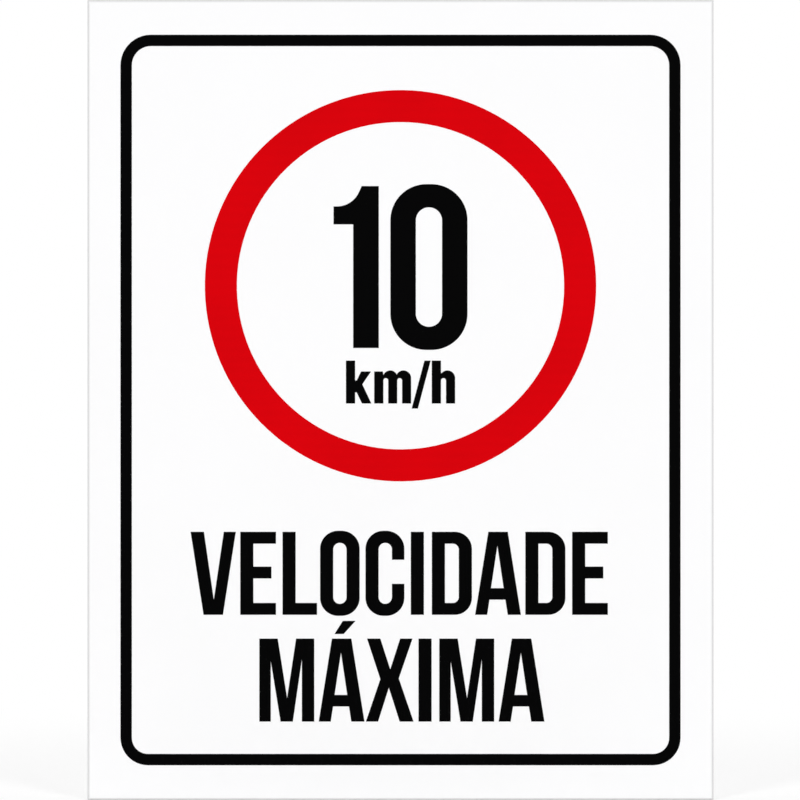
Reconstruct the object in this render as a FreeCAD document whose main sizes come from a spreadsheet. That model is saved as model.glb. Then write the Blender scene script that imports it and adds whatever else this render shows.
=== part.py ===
import FreeCAD, Part

import enum
import math
import os

import Sketcher

# A speed limit sign: one flat sheet with its print.
#
# The frame is the sign's own, as it hangs on a wall. Its origin is the middle of the back face,
# +Z is up, +X is to the right of whoever reads it, and the face looks along -Y.
# Lengths are in millimetres and angles in degrees.

SIZES = {
    # The sheet: a rectangle whose front edge the cutter rolls over, and whose back edge is crisper
    "sheet_width": 360.0,
    "sheet_height": 460.0,
    "sheet_thickness": 2.0,
    "front_round": 0.8,
    "back_round": 0.3,
    # How far the print stands on the sheet
    "print_thickness": 0.1,
    # The black line round the face
    "side_margin": 19.0,
    "end_margin": 20.0,
    "border_line": 6.5,
    "upper_corner": 17.5,
    "lower_corner": 15.8,
    # The red ring, whose centre is measured down from the top of the sheet
    "ring_diameter": 225.0,
    "ring_band": 18.4,
    "ring_drop": 164.3,
    # Both figures, whose foot is measured down from the centre of the ring
    "figure_height": 93.1,
    "figure_drop": 35.8,
    "figure_gap": 6.7,
    # The figure one: an upright stem with a flag that sweeps down to the left
    "one_width": 26.0,
    "one_stem": 14.7,
    "flag_drop": 11.7,
    "flag_depth": 10.3,
    "flag_flat": 1.9,
    "flag_radius": 13.9,
    "flag_slope": 65.0,
    # The figure zero, which stands a little past the one at its head and foot
    "zero_width": 44.3,
    "zero_overshoot": 1.1,
    "zero_flat": 2.9,
    "zero_side": 14.6,
    "zero_cap": 13.3,
}

# Places and sizes that follow from the ones above
RING_UP = "Sizes.sheet_height / 2 - Sizes.ring_drop"
RING_OPENING = "Sizes.ring_diameter - 2 * Sizes.ring_band"
BORDER_WIDTH = "Sizes.sheet_width - 2 * Sizes.side_margin"
BORDER_HEIGHT = "Sizes.sheet_height - 2 * Sizes.end_margin"
FIGURES_HALF = "(Sizes.one_width + Sizes.figure_gap + Sizes.zero_width) / 2"
FIGURE_FOOT = f"{RING_UP} - Sizes.figure_drop"
ONE_RIGHT = f"Sizes.one_width - {FIGURES_HALF}"
ZERO_ACROSS = f"{FIGURES_HALF} - Sizes.zero_width / 2"
ZERO_UP = f"{FIGURE_FOOT} + Sizes.figure_height / 2"
ZERO_HEIGHT = "Sizes.figure_height + 2 * Sizes.zero_overshoot"
ZERO_CORNER = "(Sizes.zero_width - Sizes.zero_flat) / 2"
COUNTER_WIDTH = "Sizes.zero_width - 2 * Sizes.zero_side"
COUNTER_HEIGHT = f"{ZERO_HEIGHT} - 2 * Sizes.zero_cap"
FRONT_ROUND = "min(Sizes.front_round; Sizes.sheet_thickness / 2)"
BACK_ROUND = "min(Sizes.back_round; Sizes.sheet_thickness / 4)"

# Two places nearer than this are one place
SAME = 1e-6


class Point(enum.IntEnum):
    """The points of a line or arc, as the sketcher numbers them."""
    START = 1
    END = 2
    CENTRE = 3


class Axis(enum.IntEnum):
    """The two axes of every sketch, as the sketcher numbers them."""
    LEVEL = -1
    UPRIGHT = -2


ORIGIN = (Axis.LEVEL, Point.START)

doc = FreeCAD.newDocument("SpeedLimitSign")


def make_sizes():
    """Fills the sheet of sizes, with one row for each."""
    table = doc.addObject("Spreadsheet::Sheet", "Sizes")
    for row, (name, size) in enumerate(SIZES.items(), start=1):
        table.set(f"A{row}", name)
        table.set(f"B{row}", str(size))
        table.setAlias(f"B{row}", name)
    doc.recompute()
    return table


sizes = make_sizes()


def worked_out(expression):
    """The number that an expression of the sizes gives."""
    return float(sizes.evalExpression(expression))


def make_body(name):
    """An empty body, whose label names its file."""
    body = doc.addObject("PartDesign::Body", name)
    body.Label = name
    return body


def face_sketch(body, across="0", up="0", out="0"):
    """A sketch that faces the reader, with its origin at the given place on the sign."""
    plane = next(item for item in body.Origin.OriginFeatures if item.Role == "XZ_Plane")
    sketch = body.newObject("Sketcher::SketchObject", body.Name + "_outline")
    sketch.AttachmentSupport = [(plane, "")]
    sketch.MapMode = "FlatFace"
    for axis, place in zip("xyz", (across, up, out)):
        sketch.setExpression(f"AttachmentOffset.Base.{axis}", place)
    return sketch


def pad_outline(body, sketch, thickness):
    """Pads the sketch towards the reader."""
    doc.recompute()
    pad = body.newObject("PartDesign::Pad", body.Name + "_pad")
    pad.Profile = sketch
    pad.setExpression("Length", thickness)
    doc.recompute()
    return pad


def rule(sketch, kind, *places):
    """Adds a rule that holds no size, such as Vertical or Tangent."""
    sketch.addConstraint(Sketcher.Constraint(kind, *places))


def chain(sketch, kind, pieces):
    """Joins each piece's end to the next one's start, and the last to the first."""
    for piece, following in zip(pieces, pieces[1:] + pieces[:1]):
        rule(sketch, kind, piece, Point.END, following, Point.START)


def measure(sketch, name, size, kind, *places):
    """Adds a named dimension that is tied to an expression of the sizes."""
    index = sketch.addConstraint(Sketcher.Constraint(kind, *places, worked_out(size)))
    sketch.renameConstraint(index, name)
    sketch.setExpression(f"Constraints.{name}", size)


def add_line(sketch, start, end):
    """A straight line between two points."""
    return sketch.addGeometry(Part.LineSegment(FreeCAD.Vector(*start), FreeCAD.Vector(*end)))


def add_circle(sketch, radius):
    """A circle round the sketch's origin."""
    circle = sketch.addGeometry(Part.Circle(FreeCAD.Vector(), FreeCAD.Vector(0, 0, 1), radius))
    rule(sketch, "Coincident", circle, Point.CENTRE, *ORIGIN)
    return circle


def add_arc(sketch, centre, radius, first, last):
    """An arc that runs anticlockwise from one angle to the other."""
    circle = Part.Circle(FreeCAD.Vector(*centre), FreeCAD.Vector(0, 0, 1), radius)
    return sketch.addGeometry(Part.ArcOfCircle(circle, math.radians(first), math.radians(last)))


def rounded_rectangle(sketch, name, width, height, upper, lower):
    """A rectangle round the sketch's origin, whose upper and lower corners have a radius each."""
    half_width, half_height = worked_out(width) / 2, worked_out(height) / 2
    upper_radius, lower_radius = worked_out(upper), worked_out(lower)
    upper_side, lower_side = half_width - upper_radius, half_width - lower_radius
    upper_level, lower_level = half_height - upper_radius, lower_radius - half_height

    top = add_line(sketch, (upper_side, half_height), (-upper_side, half_height))
    upper_left = add_arc(sketch, (-upper_side, upper_level), upper_radius, 90, 180)
    left = add_line(sketch, (-half_width, upper_level), (-half_width, lower_level))
    lower_left = add_arc(sketch, (-lower_side, lower_level), lower_radius, 180, 270)
    bottom = add_line(sketch, (-lower_side, -half_height), (lower_side, -half_height))
    lower_right = add_arc(sketch, (lower_side, lower_level), lower_radius, 270, 360)
    right = add_line(sketch, (half_width, lower_level), (half_width, upper_level))
    upper_right = add_arc(sketch, (upper_side, upper_level), upper_radius, 0, 90)

    chain(sketch, "Tangent", [top, upper_left, left, lower_left, bottom, lower_right, right, upper_right])
    for line in (top, bottom):
        rule(sketch, "Horizontal", line)
    for line in (left, right):
        rule(sketch, "Vertical", line)
    rule(sketch, "Equal", upper_left, upper_right)
    rule(sketch, "Equal", lower_left, lower_right)
    measure(sketch, name + "_half_height", f"({height}) / 2", "DistanceY", *ORIGIN, top, Point.START)
    measure(sketch, name + "_height", height, "DistanceY", bottom, Point.START, top, Point.END)
    measure(sketch, name + "_half_width", f"({width}) / 2", "DistanceX", left, Point.START, *ORIGIN)
    measure(sketch, name + "_width", width, "DistanceX", left, Point.START, right, Point.END)
    measure(sketch, name + "_upper_radius", upper, "Radius", upper_left)
    measure(sketch, name + "_lower_radius", lower, "Radius", lower_left)


def upright_slot(sketch, name, width, height):
    """A slot round the sketch's origin, whose ends are half circles."""
    radius = worked_out(width) / 2
    reach = worked_out(height) / 2 - radius

    head = add_arc(sketch, (0, reach), radius, 0, 180)
    left = add_line(sketch, (-radius, reach), (-radius, -reach))
    foot = add_arc(sketch, (0, -reach), radius, 180, 360)
    right = add_line(sketch, (radius, -reach), (radius, reach))

    chain(sketch, "Tangent", [head, left, foot, right])
    rule(sketch, "Vertical", right)
    rule(sketch, "PointOnObject", head, Point.CENTRE, Axis.UPRIGHT)
    rule(sketch, "Symmetric", head, Point.CENTRE, foot, Point.CENTRE, *ORIGIN)
    measure(sketch, name + "_radius", f"({width}) / 2", "Radius", head)
    measure(sketch, name + "_reach", f"({height}) - ({width})",
            "DistanceY", foot, Point.CENTRE, head, Point.CENTRE)


def round_outline(body, base, level, radius):
    """Rounds the edges that lie all along at one distance from the wall."""
    names = [f"Edge{number}" for number, edge in enumerate(base.Shape.Edges, start=1)
             if max(abs(edge.BoundBox.YMin - level), abs(edge.BoundBox.YMax - level)) < SAME]
    fillet = body.newObject("PartDesign::Fillet", base.Name + "_round")
    fillet.Base = (base, names)
    fillet.setExpression("Radius", radius)
    doc.recompute()
    return fillet


def make_sheet():
    """The sign's sheet, with its front and back edges rounded."""
    body = make_body("sign_sheet")
    sketch = face_sketch(body)
    half_width, half_height = worked_out("Sizes.sheet_width") / 2, worked_out("Sizes.sheet_height") / 2
    corners = [(half_width, half_height), (-half_width, half_height),
               (-half_width, -half_height), (half_width, -half_height)]
    sides = [add_line(sketch, *ends) for ends in zip(corners, corners[1:] + corners[:1])]
    top, left, bottom, right = sides
    chain(sketch, "Coincident", sides)
    for line in (top, bottom):
        rule(sketch, "Horizontal", line)
    for line in (left, right):
        rule(sketch, "Vertical", line)
    rule(sketch, "Symmetric", top, Point.START, bottom, Point.START, *ORIGIN)
    measure(sketch, "width", "Sizes.sheet_width", "DistanceX", top, Point.END, top, Point.START)
    measure(sketch, "height", "Sizes.sheet_height", "DistanceY", left, Point.END, left, Point.START)
    pad = pad_outline(body, sketch, "Sizes.sheet_thickness")
    front = round_outline(body, pad, -worked_out("Sizes.sheet_thickness"), FRONT_ROUND)
    round_outline(body, front, 0, BACK_ROUND)
    return body


def make_border():
    """The black line round the face, its inner corners round the same centres as its outer ones."""
    body = make_body("border_line")
    sketch = face_sketch(body, out="Sizes.sheet_thickness")
    rounded_rectangle(sketch, "outer",
                      BORDER_WIDTH, BORDER_HEIGHT,
                      "Sizes.upper_corner", "Sizes.lower_corner")
    rounded_rectangle(sketch, "inner",
                      f"{BORDER_WIDTH} - 2 * Sizes.border_line", f"{BORDER_HEIGHT} - 2 * Sizes.border_line",
                      "Sizes.upper_corner - Sizes.border_line", "Sizes.lower_corner - Sizes.border_line")
    pad_outline(body, sketch, "Sizes.print_thickness")
    return body


def make_ring():
    """The red ring round the figures."""
    body = make_body("red_ring")
    sketch = face_sketch(body, up=RING_UP, out="Sizes.sheet_thickness")
    for name, diameter in (("outer", "Sizes.ring_diameter"), ("inner", RING_OPENING)):
        circle = add_circle(sketch, worked_out(diameter) / 2)
        measure(sketch, name + "_diameter", diameter, "Diameter", circle)
    pad_outline(body, sketch, "Sizes.print_thickness")
    return body


def make_one():
    """The figure one. Its flag is level at the tip and sweeps up to the head of the stem."""
    body = make_body("figure_one")
    sketch = face_sketch(body, across=ONE_RIGHT, up=FIGURE_FOOT, out="Sizes.sheet_thickness")
    height, width, stem, radius = (worked_out("Sizes." + name) for name in
                                   ("figure_height", "one_width", "one_stem", "flag_radius"))
    flag_top = height - worked_out("Sizes.flag_drop")
    flag_foot = flag_top - worked_out("Sizes.flag_depth")
    slope = math.radians(worked_out("Sizes.flag_slope"))
    bend = (worked_out("Sizes.flag_flat") - width, flag_top + radius)
    bend_end = (bend[0] + radius * math.sin(slope), bend[1] - radius * math.cos(slope))
    head_left = bend_end[0] + (height - bend_end[1]) / math.tan(slope)

    foot = add_line(sketch, (-stem, 0), (0, 0))
    right = add_line(sketch, (0, 0), (0, height))
    head = add_line(sketch, (0, height), (head_left, height))
    sweep = add_line(sketch, bend_end, (head_left, height))
    curve = add_arc(sketch, bend, radius, 270, 270 + math.degrees(slope))
    flat = add_line(sketch, (bend[0], flag_top), (-width, flag_top))
    tip = add_line(sketch, (-width, flag_top), (-width, flag_foot))
    under = add_line(sketch, (-width, flag_foot), (-stem, flag_foot))
    left = add_line(sketch, (-stem, flag_foot), (-stem, 0))

    corners = ((foot, right), (right, head), (flat, tip), (tip, under), (under, left), (left, foot))
    for piece, following in corners:
        rule(sketch, "Coincident", piece, Point.END, following, Point.START)
    rule(sketch, "Coincident", head, Point.END, sweep, Point.END)
    rule(sketch, "Tangent", sweep, Point.START, curve, Point.END)
    rule(sketch, "Tangent", curve, Point.START, flat, Point.START)
    rule(sketch, "Coincident", foot, Point.END, *ORIGIN)
    for line in (foot, head, flat, under):
        rule(sketch, "Horizontal", line)
    for line in (right, tip, left):
        rule(sketch, "Vertical", line)
    measure(sketch, "height", "Sizes.figure_height", "DistanceY", right, Point.START, right, Point.END)
    measure(sketch, "width", "Sizes.one_width", "DistanceX", tip, Point.END, foot, Point.END)
    measure(sketch, "stem", "Sizes.one_stem", "DistanceX", foot, Point.START, foot, Point.END)
    measure(sketch, "drop", "Sizes.flag_drop", "DistanceY", tip, Point.START, right, Point.END)
    measure(sketch, "depth", "Sizes.flag_depth", "DistanceY", tip, Point.END, tip, Point.START)
    measure(sketch, "flat", "Sizes.flag_flat", "DistanceX", flat, Point.END, flat, Point.START)
    measure(sketch, "bend", "Sizes.flag_radius", "Radius", curve)
    index = sketch.addConstraint(Sketcher.Constraint("Angle", Axis.LEVEL, sweep, slope))
    sketch.renameConstraint(index, "slope")
    sketch.setExpression("Constraints.slope", "Sizes.flag_slope * 1 deg")
    pad_outline(body, sketch, "Sizes.print_thickness")
    return body


def make_zero():
    """The figure zero: full round shoulders outside, and a slot inside."""
    body = make_body("figure_zero")
    sketch = face_sketch(body, across=ZERO_ACROSS, up=ZERO_UP, out="Sizes.sheet_thickness")
    rounded_rectangle(sketch, "outer", "Sizes.zero_width", ZERO_HEIGHT, ZERO_CORNER, ZERO_CORNER)
    upright_slot(sketch, "counter", COUNTER_WIDTH, COUNTER_HEIGHT)
    pad_outline(body, sketch, "Sizes.print_thickness")
    return body


def check_built(bodies):
    """Stops if a feature failed or a body is no sound solid."""
    for item in doc.Objects:
        if {"Invalid", "Error"} & set(item.State):
            raise RuntimeError(f"{item.Label} wasn't built: {item.State}")
    for body in bodies:
        if body.Shape.isNull() or not body.Shape.isValid():
            raise RuntimeError(f"{body.Label} has no sound shape")


bodies = [make_sheet(), make_border(), make_ring(), make_one(), make_zero()]
doc.recompute()
check_built(bodies)

os.makedirs("parts", exist_ok=True)
for body in bodies:
    body.Shape.exportStep(f"parts/{body.Label}.step")
    box = body.Shape.BoundBox
    print(body.Label, f"x {box.XMin:.2f} {box.XMax:.2f}, y {box.YMin:.2f} {box.YMax:.2f},",
          f"z {box.ZMin:.2f} {box.ZMax:.2f}, volume {body.Shape.Volume:.1f}")
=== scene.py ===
import collections
import math

import bmesh
import bpy
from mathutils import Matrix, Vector


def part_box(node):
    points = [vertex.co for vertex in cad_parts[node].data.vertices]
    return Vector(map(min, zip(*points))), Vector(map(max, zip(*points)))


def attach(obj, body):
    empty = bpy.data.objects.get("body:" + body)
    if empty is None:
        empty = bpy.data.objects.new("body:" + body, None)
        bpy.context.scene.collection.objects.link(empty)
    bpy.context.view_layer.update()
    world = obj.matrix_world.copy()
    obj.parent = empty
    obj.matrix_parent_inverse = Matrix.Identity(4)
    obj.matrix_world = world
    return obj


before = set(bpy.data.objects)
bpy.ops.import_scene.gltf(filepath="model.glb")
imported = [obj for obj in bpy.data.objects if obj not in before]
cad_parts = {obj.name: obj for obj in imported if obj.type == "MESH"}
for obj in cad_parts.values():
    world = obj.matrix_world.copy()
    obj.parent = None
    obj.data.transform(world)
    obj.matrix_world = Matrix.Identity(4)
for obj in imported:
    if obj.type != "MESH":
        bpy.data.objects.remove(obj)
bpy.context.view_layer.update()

# A speed limit sign: a white sheet with a black border line, a red ring, two figures, a unit and two words.
# The solids bring the sheet, the line, the ring and the figures, which get their finish here.
# The unit and the words are films of print, as thick as the rest of it.
#
# The sign's sizes are in millimetres, and MM takes them to the scene's metres. The floor's are in metres.

MM = 0.001

# The camera stands straight in front of the sign, which fills the picture from top to bottom.
# The sign's middle is a hair to the right of the camera's line.
SENSOR = 36.0
LENS = 135.0
SIGN_ASIDE = 0.29

# Light: even and white from all round, with a pair of soft lamps in front and a weaker pair behind.
# A lamp's turn from straight ahead or straight behind, its rise and its spread are in degrees.
AMBIENT = 0.67
FRONT_STRENGTH = 0.62
BACK_STRENGTH = 0.42
LAMP_TURN = 36.0
LAMP_RISE = 21.0
LAMP_SPREAD = 16.0

# The floor reaches this far each way. Where it is seen it is lifted towards white,
# and it fades to quite white this far from the sign's foot.
FLOOR_REACH = 6.0
FLOOR_LIFT = 0.12
FLOOR_FADE = 0.5

# The sheet's rim is painted grey as shade along its edges, full this far in from its sides and ending further
# in. So does its cut edge.
EDGE_SHADE_FULL = 0.3
EDGE_SHADE_END = 1.8
CUT_FULL = 0.05
CUT_END = 0.35

# The width of a foam cell in the cut edge, how many times deeper it is than the skin's pebble,
# and how much rougher the cut edge is than the skin
CELL = 0.25
CELL_DEPTH = 4.0
CUT_ROUGHER = 0.35

# Colours, as light values from 0 to 1
SHEET_WHITE = (0.94, 0.94, 0.945)
# The grey of the sheet's rim and cut edge is painted shade along its edges, not the foam's own colour
SHADED_EDGE_GREY = (0.68, 0.68, 0.685)
PRINT_BLACK = (0.0006, 0.0006, 0.0007)
PRINT_RED = (0.675, 0.0001, 0.0028)
FLOOR_WHITE = (0.95, 0.95, 0.95)

# The share that the print head's passes have in the ink's tone. The rest is its mottle.
PASS_SHARE = 0.3

# How high the words stand above the sheet's foot and how far left of its middle,
# and how far the unit stands below the ring's centre
UPPER_WORD_RISE = 106.5
LOWER_WORD_RISE = 45.1
WORDS_ASIDE = 0.14
UNIT_DROP = 67.7

# Capital letters: their height and their strokes, and on the round ones the stroke at head and foot,
# how far it passes the other letters' head and foot, and the outer radius
CAP = 47.7
STEM = 7.5
BAR = 6.8
ROUND_BAR = 6.9
OVERSHOOT = 0.6
SHOULDER = 10.35

# The room beside a stroke: straight, round or slanting
STEM_ROOM = 2.3
ROUND_ROOM = 1.7
SLANT_ROOM = 0.28

# Small letters: the height of a tall stem and of the others, the stem, and an arch's top, inside and radius
ASCENDER = 24.65
SMALL_HEIGHT = 18.4
SMALL_STEM = 5.25
ARCH_HEAD = 19.0
ARCH_INSIDE = 14.6
ARCH_RADIUS = 4.4

# An arc gets a point about every so many degrees, and neighbours nearer than this are one point
ARC_STEP = 5.0
SAME_POINT = 0.001


def make_camera():
    """A long lens, so far off that the sheet is as tall as the picture."""
    sheet_low, sheet_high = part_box("sign_sheet")
    data = bpy.data.cameras.new("camera")
    data.sensor_width = SENSOR
    data.lens = LENS
    camera = bpy.data.objects.new("camera", data)
    middle = (sheet_low + sheet_high) / 2
    distance = (sheet_high.z - sheet_low.z) * LENS / SENSOR
    camera.location = (middle.x - SIGN_ASIDE * MM, sheet_low.y - distance, middle.z)
    camera.rotation_euler = (math.radians(90), 0, 0)
    bpy.context.scene.collection.objects.link(camera)
    bpy.context.scene.camera = camera


make_camera()


# Node trees

# The sockets of a Mix node that carry colours. They share their names with its number sockets.
FIRST_COLOUR, SECOND_COLOUR, MIXED_COLOUR = 6, 7, 2


def add_node(tree, kind, inputs=None, **settings):
    """A node with its settings, whose inputs are set to values or joined to other nodes' outputs."""
    node = tree.nodes.new(kind)
    for name, value in settings.items():
        setattr(node, name, value)
    for key, value in (inputs or {}).items():
        if isinstance(value, bpy.types.NodeSocket):
            tree.links.new(value, node.inputs[key])
        else:
            node.inputs[key].default_value = value
    return node


def calculate(tree, operation, *values):
    """The output of a Math node."""
    return add_node(tree, "ShaderNodeMath", dict(enumerate(values)), operation=operation).outputs[0]


def remap(tree, value, low, high, to_low=0.0, to_high=1.0):
    """The value, taken smoothly from one range to another."""
    inputs = {"Value": value, "From Min": low, "From Max": high, "To Min": to_low, "To Max": to_high}
    return add_node(tree, "ShaderNodeMapRange", inputs, interpolation_type="SMOOTHSTEP").outputs["Result"]


def mix_colours(tree, share, first, second):
    """A mix of two colours, each given as numbers or as another node's output."""
    inputs = {"Factor": share}
    for socket, colour in ((FIRST_COLOUR, first), (SECOND_COLOUR, second)):
        inputs[socket] = colour if isinstance(colour, bpy.types.NodeSocket) else (*colour, 1.0)
    return add_node(tree, "ShaderNodeMix", inputs, data_type="RGBA").outputs[MIXED_COLOUR]


def object_place(tree):
    """A point's place in its object, in metres. The pieces of the sign all share one origin."""
    return add_node(tree, "ShaderNodeTexCoord").outputs["Object"]


def new_group(name, inputs, outputs):
    """An empty node group with number inputs and number outputs."""
    group = bpy.data.node_groups.new(name, "ShaderNodeTree")
    for label, default in inputs.items():
        socket = group.interface.new_socket(label, in_out="INPUT", socket_type="NodeSocketFloat")
        socket.default_value = default
    for label in outputs:
        group.interface.new_socket(label, in_out="OUTPUT", socket_type="NodeSocketFloat")
    return group, group.nodes.new("NodeGroupInput").outputs, group.nodes.new("NodeGroupOutput").inputs


def use_group(tree, group, **inputs):
    """The outputs of a group placed in a material."""
    return add_node(tree, "ShaderNodeGroup", inputs, node_tree=group).outputs


def cloud_noise(tree, place, size, detail):
    """A soft noise whose blobs have this size, in millimetres."""
    inputs = {"Vector": place, "Scale": calculate(tree, "DIVIDE", 1 / MM, size), "Detail": detail}
    return add_node(tree, "ShaderNodeTexNoise", inputs).outputs[0]


def make_skin_group():
    """The skin of sheet and ink: a fine pebble and a slow mottle, each with its size in millimetres."""
    group, given, made = new_group("fine_skin", {"Pebble": 1.0, "Cloud": 50.0}, ["Height", "Mottle"])
    place = object_place(group)
    group.links.new(cloud_noise(group, place, given["Pebble"], detail=3.0), made["Height"])
    mottle = remap(group, cloud_noise(group, place, given["Cloud"], detail=2.0), low=0.3, high=0.7)
    group.links.new(mottle, made["Mottle"])
    return group


def make_pass_group():
    """How ink lies: faint level passes of the print head, which drift. Pitch and cloud are in millimetres."""
    group, given, made = new_group("ink_passes", {"Pitch": 6.0, "Cloud": 80.0, "Drift": 6.0}, ["Band"])
    place = object_place(group)
    height = add_node(group, "ShaderNodeSeparateXYZ", {"Vector": place}).outputs["Z"]
    turns = calculate(group, "DIVIDE", calculate(group, "MULTIPLY", height, math.tau / MM), given["Pitch"])
    cloud = cloud_noise(group, place, given["Cloud"], detail=2.0)
    wave = calculate(group, "SINE", calculate(group, "MULTIPLY_ADD", cloud, given["Drift"], turns))
    group.links.new(calculate(group, "MULTIPLY_ADD", wave, 0.5, 0.5), made["Band"])
    return group


FINE_SKIN = make_skin_group()
INK_PASSES = make_pass_group()


# Finishes

def new_material(name):
    """An empty node material, its tree and its shader."""
    material = bpy.data.materials.new(name)
    material.use_nodes = True
    tree = material.node_tree
    tree.nodes.clear()
    shader = add_node(tree, "ShaderNodeBsdfPrincipled")
    add_node(tree, "ShaderNodeOutputMaterial", {"Surface": shader.outputs[0]}, name="output")
    return material, tree, shader


def set_bump(tree, shader, height, strength, depth):
    """Makes the surface catch the light as if it had this height, so many millimetres deep."""
    bump = add_node(tree, "ShaderNodeBump", {"Strength": strength, "Distance": depth * MM, "Height": height})
    tree.links.new(bump.outputs[0], shader.inputs["Normal"])


def darker(colour, by):
    """The colour, made darker by a share."""
    return tuple(part * (1 - by) for part in colour)


def inset_from_sides(tree, place):
    """How far a point of the sheet lies in from the nearest of its four sides."""
    sheet_low, sheet_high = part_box("sign_sheet")
    parts = add_node(tree, "ShaderNodeSeparateXYZ", {"Vector": place}).outputs
    across = calculate(tree, "SUBTRACT", sheet_high.x, calculate(tree, "ABSOLUTE", parts["X"]))
    up = calculate(tree, "SUBTRACT", sheet_high.z, calculate(tree, "ABSOLUTE", parts["Z"]))
    return calculate(tree, "MINIMUM", across, up)


def make_sheet_finish():
    """Rigid foamed sheet: a smooth white skin with shade painted in grey along its rim, and a cut edge with
    open cells in the same painted grey.
    """
    material, tree, shader = new_material("white_sheet_satin")
    place = object_place(tree)
    skin = use_group(tree, FINE_SKIN, Pebble=0.9, Cloud=70.0)
    inset = inset_from_sides(tree, place)
    edge_shade = remap(tree, inset, low=EDGE_SHADE_END * MM, high=EDGE_SHADE_FULL * MM)
    cut = remap(tree, inset, low=CUT_END * MM, high=CUT_FULL * MM)
    foam = add_node(tree, "ShaderNodeTexVoronoi", {"Vector": place, "Scale": 1 / (CELL * MM)})
    cells = calculate(tree, "MULTIPLY", foam.outputs["Distance"], cut)

    face = mix_colours(tree, skin["Mottle"], SHEET_WHITE, darker(SHEET_WHITE, by=0.008))
    # The rim and cut edge take painted shade in grey, with the foam's cells darker within it
    shaded_cut_foam = mix_colours(tree, cells, SHADED_EDGE_GREY, darker(SHADED_EDGE_GREY, by=0.3))
    tree.links.new(mix_colours(tree, edge_shade, face, shaded_cut_foam), shader.inputs["Base Color"])
    satin = remap(tree, skin["Mottle"], low=0.0, high=1.0, to_low=0.38, to_high=0.46)
    tree.links.new(calculate(tree, "MULTIPLY_ADD", cut, CUT_ROUGHER, satin), shader.inputs["Roughness"])
    shader.inputs["Specular IOR Level"].default_value = 0.25
    height = calculate(tree, "MULTIPLY_ADD", cells, CELL_DEPTH, skin["Height"])
    set_bump(tree, shader, height, strength=0.12, depth=0.02)
    return material


def make_print_finish(name, colour):
    """Cured ink: deep and even, with faint passes in its colour and sheen."""
    material, tree, shader = new_material(name)
    skin = use_group(tree, FINE_SKIN, Pebble=0.6, Cloud=40.0)
    passes = use_group(tree, INK_PASSES, Pitch=6.0, Cloud=80.0, Drift=6.0)
    mottle = calculate(tree, "MULTIPLY", skin["Mottle"], 1 - PASS_SHARE)
    tone = calculate(tree, "MULTIPLY_ADD", passes["Band"], PASS_SHARE, mottle)
    tree.links.new(mix_colours(tree, tone, colour, darker(colour, by=0.06)), shader.inputs["Base Color"])
    satin = remap(tree, tone, low=0.0, high=1.0, to_low=0.42, to_high=0.54)
    tree.links.new(satin, shader.inputs["Roughness"])
    shader.inputs["Specular IOR Level"].default_value = 0.02
    set_bump(tree, shader, skin["Height"], strength=0.1, depth=0.012)
    return material


SHEET_FINISH = make_sheet_finish()
BLACK_FINISH = make_print_finish("black_print_satin", PRINT_BLACK)
RED_FINISH = make_print_finish("red_print_satin", PRINT_RED)


def dress(node, finish):
    """Gives a node of the frame its finish."""
    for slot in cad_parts[node].material_slots:
        slot.material = finish


dress("sign_sheet", SHEET_FINISH)
dress("red_ring", RED_FINISH)
for black_node in ("border_line", "figure_one", "figure_zero"):
    dress(black_node, BLACK_FINISH)


# Letters: each has loops of points (across, up) from its own left foot, a width, and room at its sides

Letter = collections.namedtuple("Letter", "loops width left_room right_room")


def arc(across, up, radius, first, last):
    """Points along an arc from one angle to the other, in degrees anticlockwise from the right."""
    steps = max(2, round(abs(last - first) / ARC_STEP))
    angles = [math.radians(first + (last - first) * step / steps) for step in range(steps + 1)]
    return [(across + radius * math.cos(angle), up + radius * math.sin(angle)) for angle in angles]


def round_box(left, right, low, high, radius):
    """A box with round corners."""
    return (arc(right - radius, high - radius, radius, 0, 90)
            + arc(left + radius, high - radius, radius, 90, 180)
            + arc(left + radius, low + radius, radius, 180, 270)
            + arc(right - radius, low + radius, radius, 270, 360))


def capital_i():
    """A stem."""
    loop = [(0, 0), (STEM, 0), (STEM, CAP), (0, CAP)]
    return Letter([loop], STEM, left_room=STEM_ROOM, right_room=STEM_ROOM)


def capital_l():
    """A stem on a foot."""
    foot = 19.8
    loop = [(0, 0), (foot, 0), (foot, BAR), (STEM, BAR), (STEM, CAP), (0, CAP)]
    return Letter([loop], foot, left_room=STEM_ROOM, right_room=0.1)


def capital_e():
    """A stem with three arms, the middle one shorter."""
    arm, middle_arm, middle_low = 20.5, 17.9, 20.9
    middle_high = middle_low + BAR
    loop = [(0, 0), (arm, 0), (arm, BAR), (STEM, BAR)]
    loop += [(STEM, middle_low), (middle_arm, middle_low), (middle_arm, middle_high), (STEM, middle_high)]
    loop += [(STEM, CAP - BAR), (arm, CAP - BAR), (arm, CAP), (0, CAP)]
    return Letter([loop], arm, left_room=STEM_ROOM, right_room=1.5)


def capital_o():
    """A tall ring with straight flanks."""
    width = 22.7
    low, high = -OVERSHOOT, CAP + OVERSHOOT
    outside = round_box(0, width, low, high, SHOULDER)
    inside = round_box(STEM, width - STEM, low + ROUND_BAR, high - ROUND_BAR, width / 2 - STEM)
    return Letter([outside, inside], width, left_room=ROUND_ROOM, right_room=ROUND_ROOM)


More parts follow.
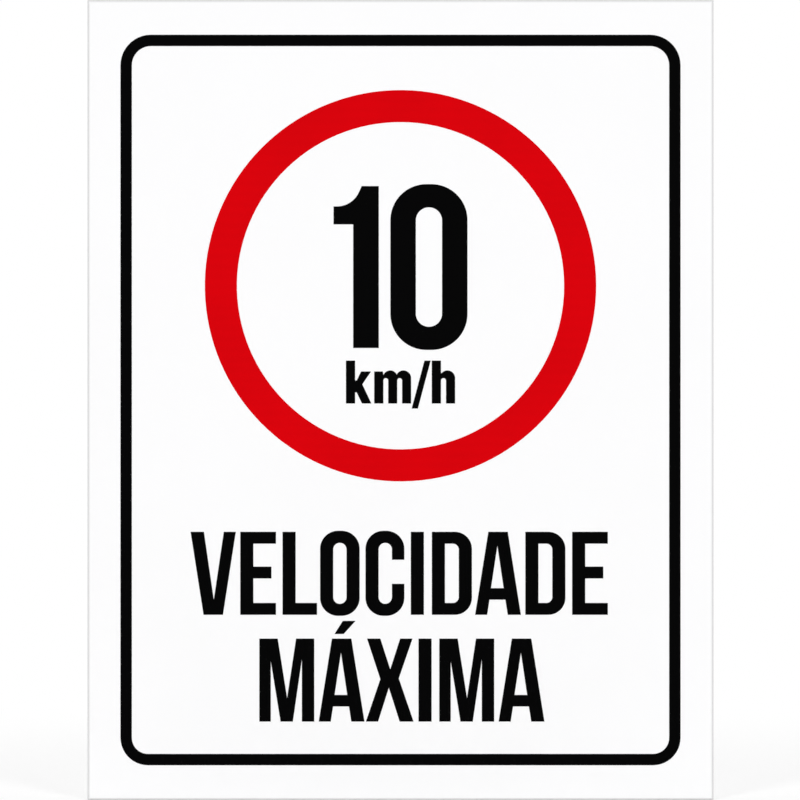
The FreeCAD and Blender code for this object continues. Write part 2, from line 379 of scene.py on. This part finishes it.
def capital_c():
    """Like the O, open on its right between two square ends."""
    width, inner_right = 22.3, 15.2
    upper_end, lower_end = 31.65, 17.8
    low, high = -OVERSHOOT, CAP + OVERSHOOT
    bend = (inner_right - STEM) / 2
    loop = [(width, upper_end)]
    loop += arc(width - SHOULDER, high - SHOULDER, SHOULDER, 0, 90)
    loop += arc(SHOULDER, high - SHOULDER, SHOULDER, 90, 180)
    loop += arc(SHOULDER, low + SHOULDER, SHOULDER, 180, 270)
    loop += arc(width - SHOULDER, low + SHOULDER, SHOULDER, 270, 360)
    loop += [(width, lower_end), (inner_right, lower_end)]
    loop += arc(STEM + bend, low + ROUND_BAR + bend, bend, 360, 180)
    loop += arc(STEM + bend, high - ROUND_BAR - bend, bend, 180, 0)
    loop += [(inner_right, upper_end)]
    return Letter([loop], width, left_room=ROUND_ROOM, right_room=1.45)


def capital_d():
    """A stem with a bow whose corners are round."""
    width, outer_radius, inner_radius = 23.0, 9.8, 3.45
    bow, inner_bow = width - outer_radius, width - STEM - inner_radius
    outside = [(0, 0)] + arc(bow, outer_radius, outer_radius, 270, 360)
    outside += arc(bow, CAP - outer_radius, outer_radius, 0, 90) + [(0, CAP)]
    inside = [(STEM, BAR)] + arc(inner_bow, BAR + inner_radius, inner_radius, 270, 360)
    inside += arc(inner_bow, CAP - BAR - inner_radius, inner_radius, 0, 90) + [(STEM, CAP - BAR)]
    return Letter([outside, inside], width, left_room=STEM_ROOM, right_room=1.6)


def capital_v():
    """Two slanting strokes that meet over a broad foot."""
    width = 26.0
    left_head, right_head = 7.65, 19.1
    left_foot, right_foot = 7.45, 18.6
    notch = (13.35, 8.6)
    loop = [(left_foot, 0), (right_foot, 0), (width, CAP)]
    loop += [(right_head, CAP), notch, (left_head, CAP), (0, CAP)]
    return Letter([loop], width, left_room=SLANT_ROOM, right_room=SLANT_ROOM)


def capital_a():
    """Two slanting strokes under a broad head, with a bar."""
    width = 26.3
    left_head, right_head = 7.6, 18.75
    left_foot, right_foot = 6.9, 18.75
    bar_left, bar_right, bar_low = 8.25, 17.4, 8.7
    hole_left, hole_right, hole_low = 9.1, 16.4, 15.3
    hole_top = (12.8, 39.7)
    outside = [(0, 0), (left_foot, 0), (bar_left, bar_low), (bar_right, bar_low)]
    outside += [(right_foot, 0), (width, 0), (right_head, CAP), (left_head, CAP)]
    inside = [(hole_left, hole_low), (hole_right, hole_low), hole_top]
    return Letter([outside, inside], width, left_room=SLANT_ROOM, right_room=SLANT_ROOM)


def capital_a_acute():
    """The A under an accent that leans to the right."""
    letter = capital_a()
    low, high = CAP + 2.65, CAP + 10.2
    accent = [(9.1, low), (14.3, low), (21.2, high), (13.85, high)]
    return letter._replace(loops=letter.loops + [accent])


def capital_m():
    """Two stems with a wedge between them."""
    width = 31.55
    left_stem, right_stem = 6.55, 24.45
    left_wedge, right_wedge = 34.8, 35.9
    left_foot, right_foot = 12.2, 19.25
    left_head, right_head = 10.55, 21.1
    notch = (15.95, 13.5)
    loop = [(0, 0), (left_stem, 0), (left_stem, left_wedge), (left_foot, 0), (right_foot, 0)]
    loop += [(right_stem, right_wedge), (right_stem, 0), (width, 0), (width, CAP)]
    loop += [(right_head, CAP), notch, (left_head, CAP), (0, CAP)]
    return Letter([loop], width, left_room=2.15, right_room=STEM_ROOM)


def capital_x():
    """Two strokes that cross."""
    width = 27.4
    left_foot, right_foot = 7.0, 19.4
    left_head, right_head = (0.65, 8.3), (19.7, 26.8)
    left_waist, right_waist = (8.3, 24.4), (18.9, 24.8)
    lower_notch, upper_notch = (13.2, 19.5), (14.0, 30.0)
    loop = [(0, 0), (left_foot, 0), lower_notch, (right_foot, 0), (width, 0), right_waist]
    loop += [(across, CAP) for across in reversed(right_head)] + [upper_notch]
    loop += [(across, CAP) for across in reversed(left_head)] + [left_waist]
    return Letter([loop], width, left_room=0.55, right_room=0.55)


def small_k():
    """A stem with an arm and a leg that meet beside it."""
    width = 14.6
    joint, joint_low, joint_high = 6.2, 6.35, 13.25
    leg_foot, waist, arm_left, arm_right = 9.2, (9.4, 11.05), 8.7, 14.4
    loop = [(0, 0), (SMALL_STEM, 0), (SMALL_STEM, joint_low), (joint, joint_low)]
    loop += [(leg_foot, 0), (width, 0), waist, (arm_right, SMALL_HEIGHT), (arm_left, SMALL_HEIGHT)]
    loop += [(joint, joint_high), (SMALL_STEM, joint_high), (SMALL_STEM, ASCENDER), (0, ASCENDER)]
    return Letter([loop], width, left_room=0, right_room=1.65)


def under_arch(left, right):
    """The space under an arch, up from its left foot and down to its right foot."""
    radius = (right - left) / 2
    return [(left, 0)] + arc(left + radius, ARCH_INSIDE - radius, radius, 180, 0) + [(right, 0)]


def small_m():
    """Three stems under two arches, of which the left one is the smaller."""
    width, left_radius = 21.2, 4.15
    middle_left, middle_right, right_stem = 8.05, 13.2, 16.05
    left_arch, right_arch = 9.2, width - ARCH_RADIUS
    right_arch_end, left_arch_start, left_arch_end = 148, 22, 158
    spur = 4.9
    loop = [(0, 0)] + under_arch(SMALL_STEM, middle_left) + under_arch(middle_right, right_stem)
    loop += [(width, 0)] + arc(right_arch, ARCH_HEAD - ARCH_RADIUS, ARCH_RADIUS, 0, right_arch_end)
    loop += arc(left_arch, ARCH_HEAD - left_radius, left_radius, left_arch_start, left_arch_end)
    loop += [(spur, SMALL_HEIGHT), (0, SMALL_HEIGHT)]
    return Letter([loop], width, left_room=0, right_room=0.35)


def small_h():
    """A tall stem and an arch that springs from it."""
    width, right_stem, spring, arch_end = 13.4, 8.2, 18.0, 142
    loop = [(0, 0)] + under_arch(SMALL_STEM, right_stem)
    loop += [(width, 0)] + arc(width - ARCH_RADIUS, ARCH_HEAD - ARCH_RADIUS, ARCH_RADIUS, 0, arch_end)
    loop += [(SMALL_STEM, spring), (SMALL_STEM, ASCENDER), (0, ASCENDER)]
    return Letter([loop], width, left_room=0, right_room=0)


def slash():
    """A leaning stroke that reaches below the line."""
    below, lean, stroke = 2.9, 7.35, 3.55
    loop = [(0, -below), (stroke, -below), (stroke + lean, ASCENDER), (lean, ASCENDER)]
    return Letter([loop], stroke + lean, left_room=0, right_room=0.65)


A_ACUTE = "\N{LATIN CAPITAL LETTER A WITH ACUTE}"
CAPITALS = {
    "A": capital_a(), A_ACUTE: capital_a_acute(), "C": capital_c(), "D": capital_d(),
    "E": capital_e(), "I": capital_i(), "L": capital_l(), "M": capital_m(),
    "O": capital_o(), "V": capital_v(), "X": capital_x(),
}


def without_repeats(loop):
    """The loop without any point that lies on the next one, as where two arcs meet."""
    pairs = zip(loop, loop[1:] + loop[:1])
    return [point for point, following in pairs if math.dist(point, following) > SAME_POINT]


def set_in_row(letters, middle, foot):
    """The loops of letters set side by side, centred on middle, in metres."""
    room = sum(letter.left_room + letter.width + letter.right_room for letter in letters)
    start = middle - room * MM / 2
    loops = []
    for letter in letters:
        start += letter.left_room * MM
        for loop in letter.loops:
            loops.append([(start + across * MM, foot + up * MM) for across, up in without_repeats(loop)])
        start += (letter.width + letter.right_room) * MM
    return loops


def print_film(name, loops):
    """A closed black film on the face of the sheet, between the same levels as the border line."""
    line_low, line_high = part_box("border_line")
    shape = bmesh.new()
    # The outline lies on the sheet, and each of its corners has a twin in front of it
    in_front = {}
    outline = []
    for loop in loops:
        corners = [shape.verts.new((across, line_high.y, up)) for across, up in loop]
        for corner in corners:
            in_front[corner] = shape.verts.new((corner.co.x, line_low.y, corner.co.z))
        outline += [shape.edges.new(ends) for ends in zip(corners, corners[1:] + corners[:1])]
    # The film's back, then the same faces in front, then the walls between them
    bmesh.ops.triangle_fill(shape, use_beauty=True, edges=outline)
    for face in shape.faces[:]:
        shape.faces.new([in_front[corner] for corner in face.verts])
    for edge in outline:
        start, end = edge.verts
        shape.faces.new((start, end, in_front[end], in_front[start]))
    bmesh.ops.recalc_face_normals(shape, faces=shape.faces[:])
    mesh = bpy.data.meshes.new(name)
    shape.to_mesh(mesh)
    shape.free()
    mesh.materials.append(BLACK_FINISH)
    film = bpy.data.objects.new(name, mesh)
    bpy.context.scene.collection.objects.link(film)
    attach(film, "root")


def make_unit():
    """The unit, under the figures in the ring."""
    ring_low, ring_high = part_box("red_ring")
    centre = (ring_low + ring_high) / 2
    letters = [small_k(), small_m(), slash(), small_h()]
    print_film("unit_letters", set_in_row(letters, centre.x, centre.z - UNIT_DROP * MM))


def make_word(name, word, rise):
    """A word below the ring, so far above the sheet's foot."""
    sheet_low, sheet_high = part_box("sign_sheet")
    middle = (sheet_low.x + sheet_high.x) / 2 - WORDS_ASIDE * MM
    letters = [CAPITALS[capital] for capital in word]
    print_film(name, set_in_row(letters, middle, sheet_low.z + rise * MM))


make_unit()
make_word("upper_word", "VELOCIDADE", UPPER_WORD_RISE)
make_word("lower_word", "M" + A_ACUTE + "XIMA", LOWER_WORD_RISE)


# Floor, surround and lamps

def seen_directly(tree):
    """One for rays from the camera, a mirror or clear glass, and nothing for rays that carry soft light."""
    path = add_node(tree, "ShaderNodeLightPath").outputs
    mirrored = calculate(tree, "MAXIMUM", path["Is Glossy Ray"], path["Is Transmission Ray"])
    return calculate(tree, "MAXIMUM", path["Is Camera Ray"], mirrored)


def make_surround():
    """A white surround that lights the sign softly from all sides."""
    world = bpy.data.worlds.new("surround")
    world.use_nodes = True
    tree = world.node_tree
    tree.nodes.clear()
    soft = add_node(tree, "ShaderNodeBackground", {"Color": (1, 1, 1, 1), "Strength": AMBIENT})
    white = add_node(tree, "ShaderNodeBackground", {"Color": (1, 1, 1, 1), "Strength": 1.0})
    parts = {0: seen_directly(tree), 1: soft.outputs[0], 2: white.outputs[0]}
    either = add_node(tree, "ShaderNodeMixShader", parts)
    add_node(tree, "ShaderNodeOutputWorld", {"Surface": either.outputs[0]})
    bpy.context.scene.world = world


def away_from_foot(tree):
    """How far a point of the floor lies from the foot of the sheet."""
    sheet_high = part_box("sign_sheet")[1]
    parts = add_node(tree, "ShaderNodeSeparateXYZ", {"Vector": object_place(tree)}).outputs
    across = calculate(tree, "SUBTRACT", calculate(tree, "ABSOLUTE", parts["X"]), sheet_high.x)
    beside = calculate(tree, "MAXIMUM", across, 0.0)
    out_squared = calculate(tree, "MULTIPLY", parts["Y"], parts["Y"])
    return calculate(tree, "SQRT", calculate(tree, "MULTIPLY_ADD", beside, beside, out_squared))


def make_floor_finish():
    """A pale matt floor that takes the sign's shadow and turns plain white further off."""
    material, tree, shader = new_material("pale_floor")
    shader.inputs["Base Color"].default_value = (*FLOOR_WHITE, 1)
    shader.inputs["Roughness"].default_value = 0.9
    shader.inputs["Specular IOR Level"].default_value = 0.0
    seen = seen_directly(tree)
    lift = add_node(tree, "ShaderNodeEmission", {"Strength": calculate(tree, "MULTIPLY", seen, FLOOR_LIFT)})
    near = add_node(tree, "ShaderNodeAddShader", {0: shader.outputs[0], 1: lift.outputs[0]})
    far = add_node(tree, "ShaderNodeEmission", {"Strength": 1.0})
    fade = calculate(tree, "MULTIPLY", seen, remap(tree, away_from_foot(tree), low=0.0, high=FLOOR_FADE))
    either = add_node(tree, "ShaderNodeMixShader", {0: fade, 1: near.outputs[0], 2: far.outputs[0]})
    tree.links.new(either.outputs[0], tree.nodes["output"].inputs["Surface"])
    return material


def make_floor():
    """A wide floor at the level of the sheet's foot."""
    reach = FLOOR_REACH
    corners = [(-reach, -reach, 0), (reach, -reach, 0), (reach, reach, 0), (-reach, reach, 0)]
    mesh = bpy.data.meshes.new("floor")
    mesh.from_pydata(corners, [], [(0, 1, 2, 3)])
    mesh.materials.append(make_floor_finish())
    floor = bpy.data.objects.new("floor", mesh)
    floor.location.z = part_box("sign_sheet")[0].z
    bpy.context.scene.collection.objects.link(floor)


def make_lamp(name, bearing, strength):
    """A wide, soft lamp so far off that it lights all of the sign alike, and isn't seen itself."""
    data = bpy.data.lights.new(name, "SUN")
    data.angle = math.radians(LAMP_SPREAD)
    data.energy = strength
    lamp = bpy.data.objects.new(name, data)
    turn, rise = math.radians(bearing), math.radians(LAMP_RISE)
    towards = Vector((math.sin(turn) * math.cos(rise), -math.cos(turn) * math.cos(rise), math.sin(rise)))
    lamp.rotation_euler = towards.to_track_quat("Z", "Y").to_euler()
    lamp.visible_camera = False
    bpy.context.scene.collection.objects.link(lamp)


make_surround()
make_floor()
for side, turn in (("left", -LAMP_TURN), ("right", LAMP_TURN)):
    make_lamp("front_lamp_" + side, turn, FRONT_STRENGTH)
    make_lamp("back_lamp_" + side, 180 - turn, BACK_STRENGTH)

bpy.context.scene.view_settings.view_transform = "Standard"
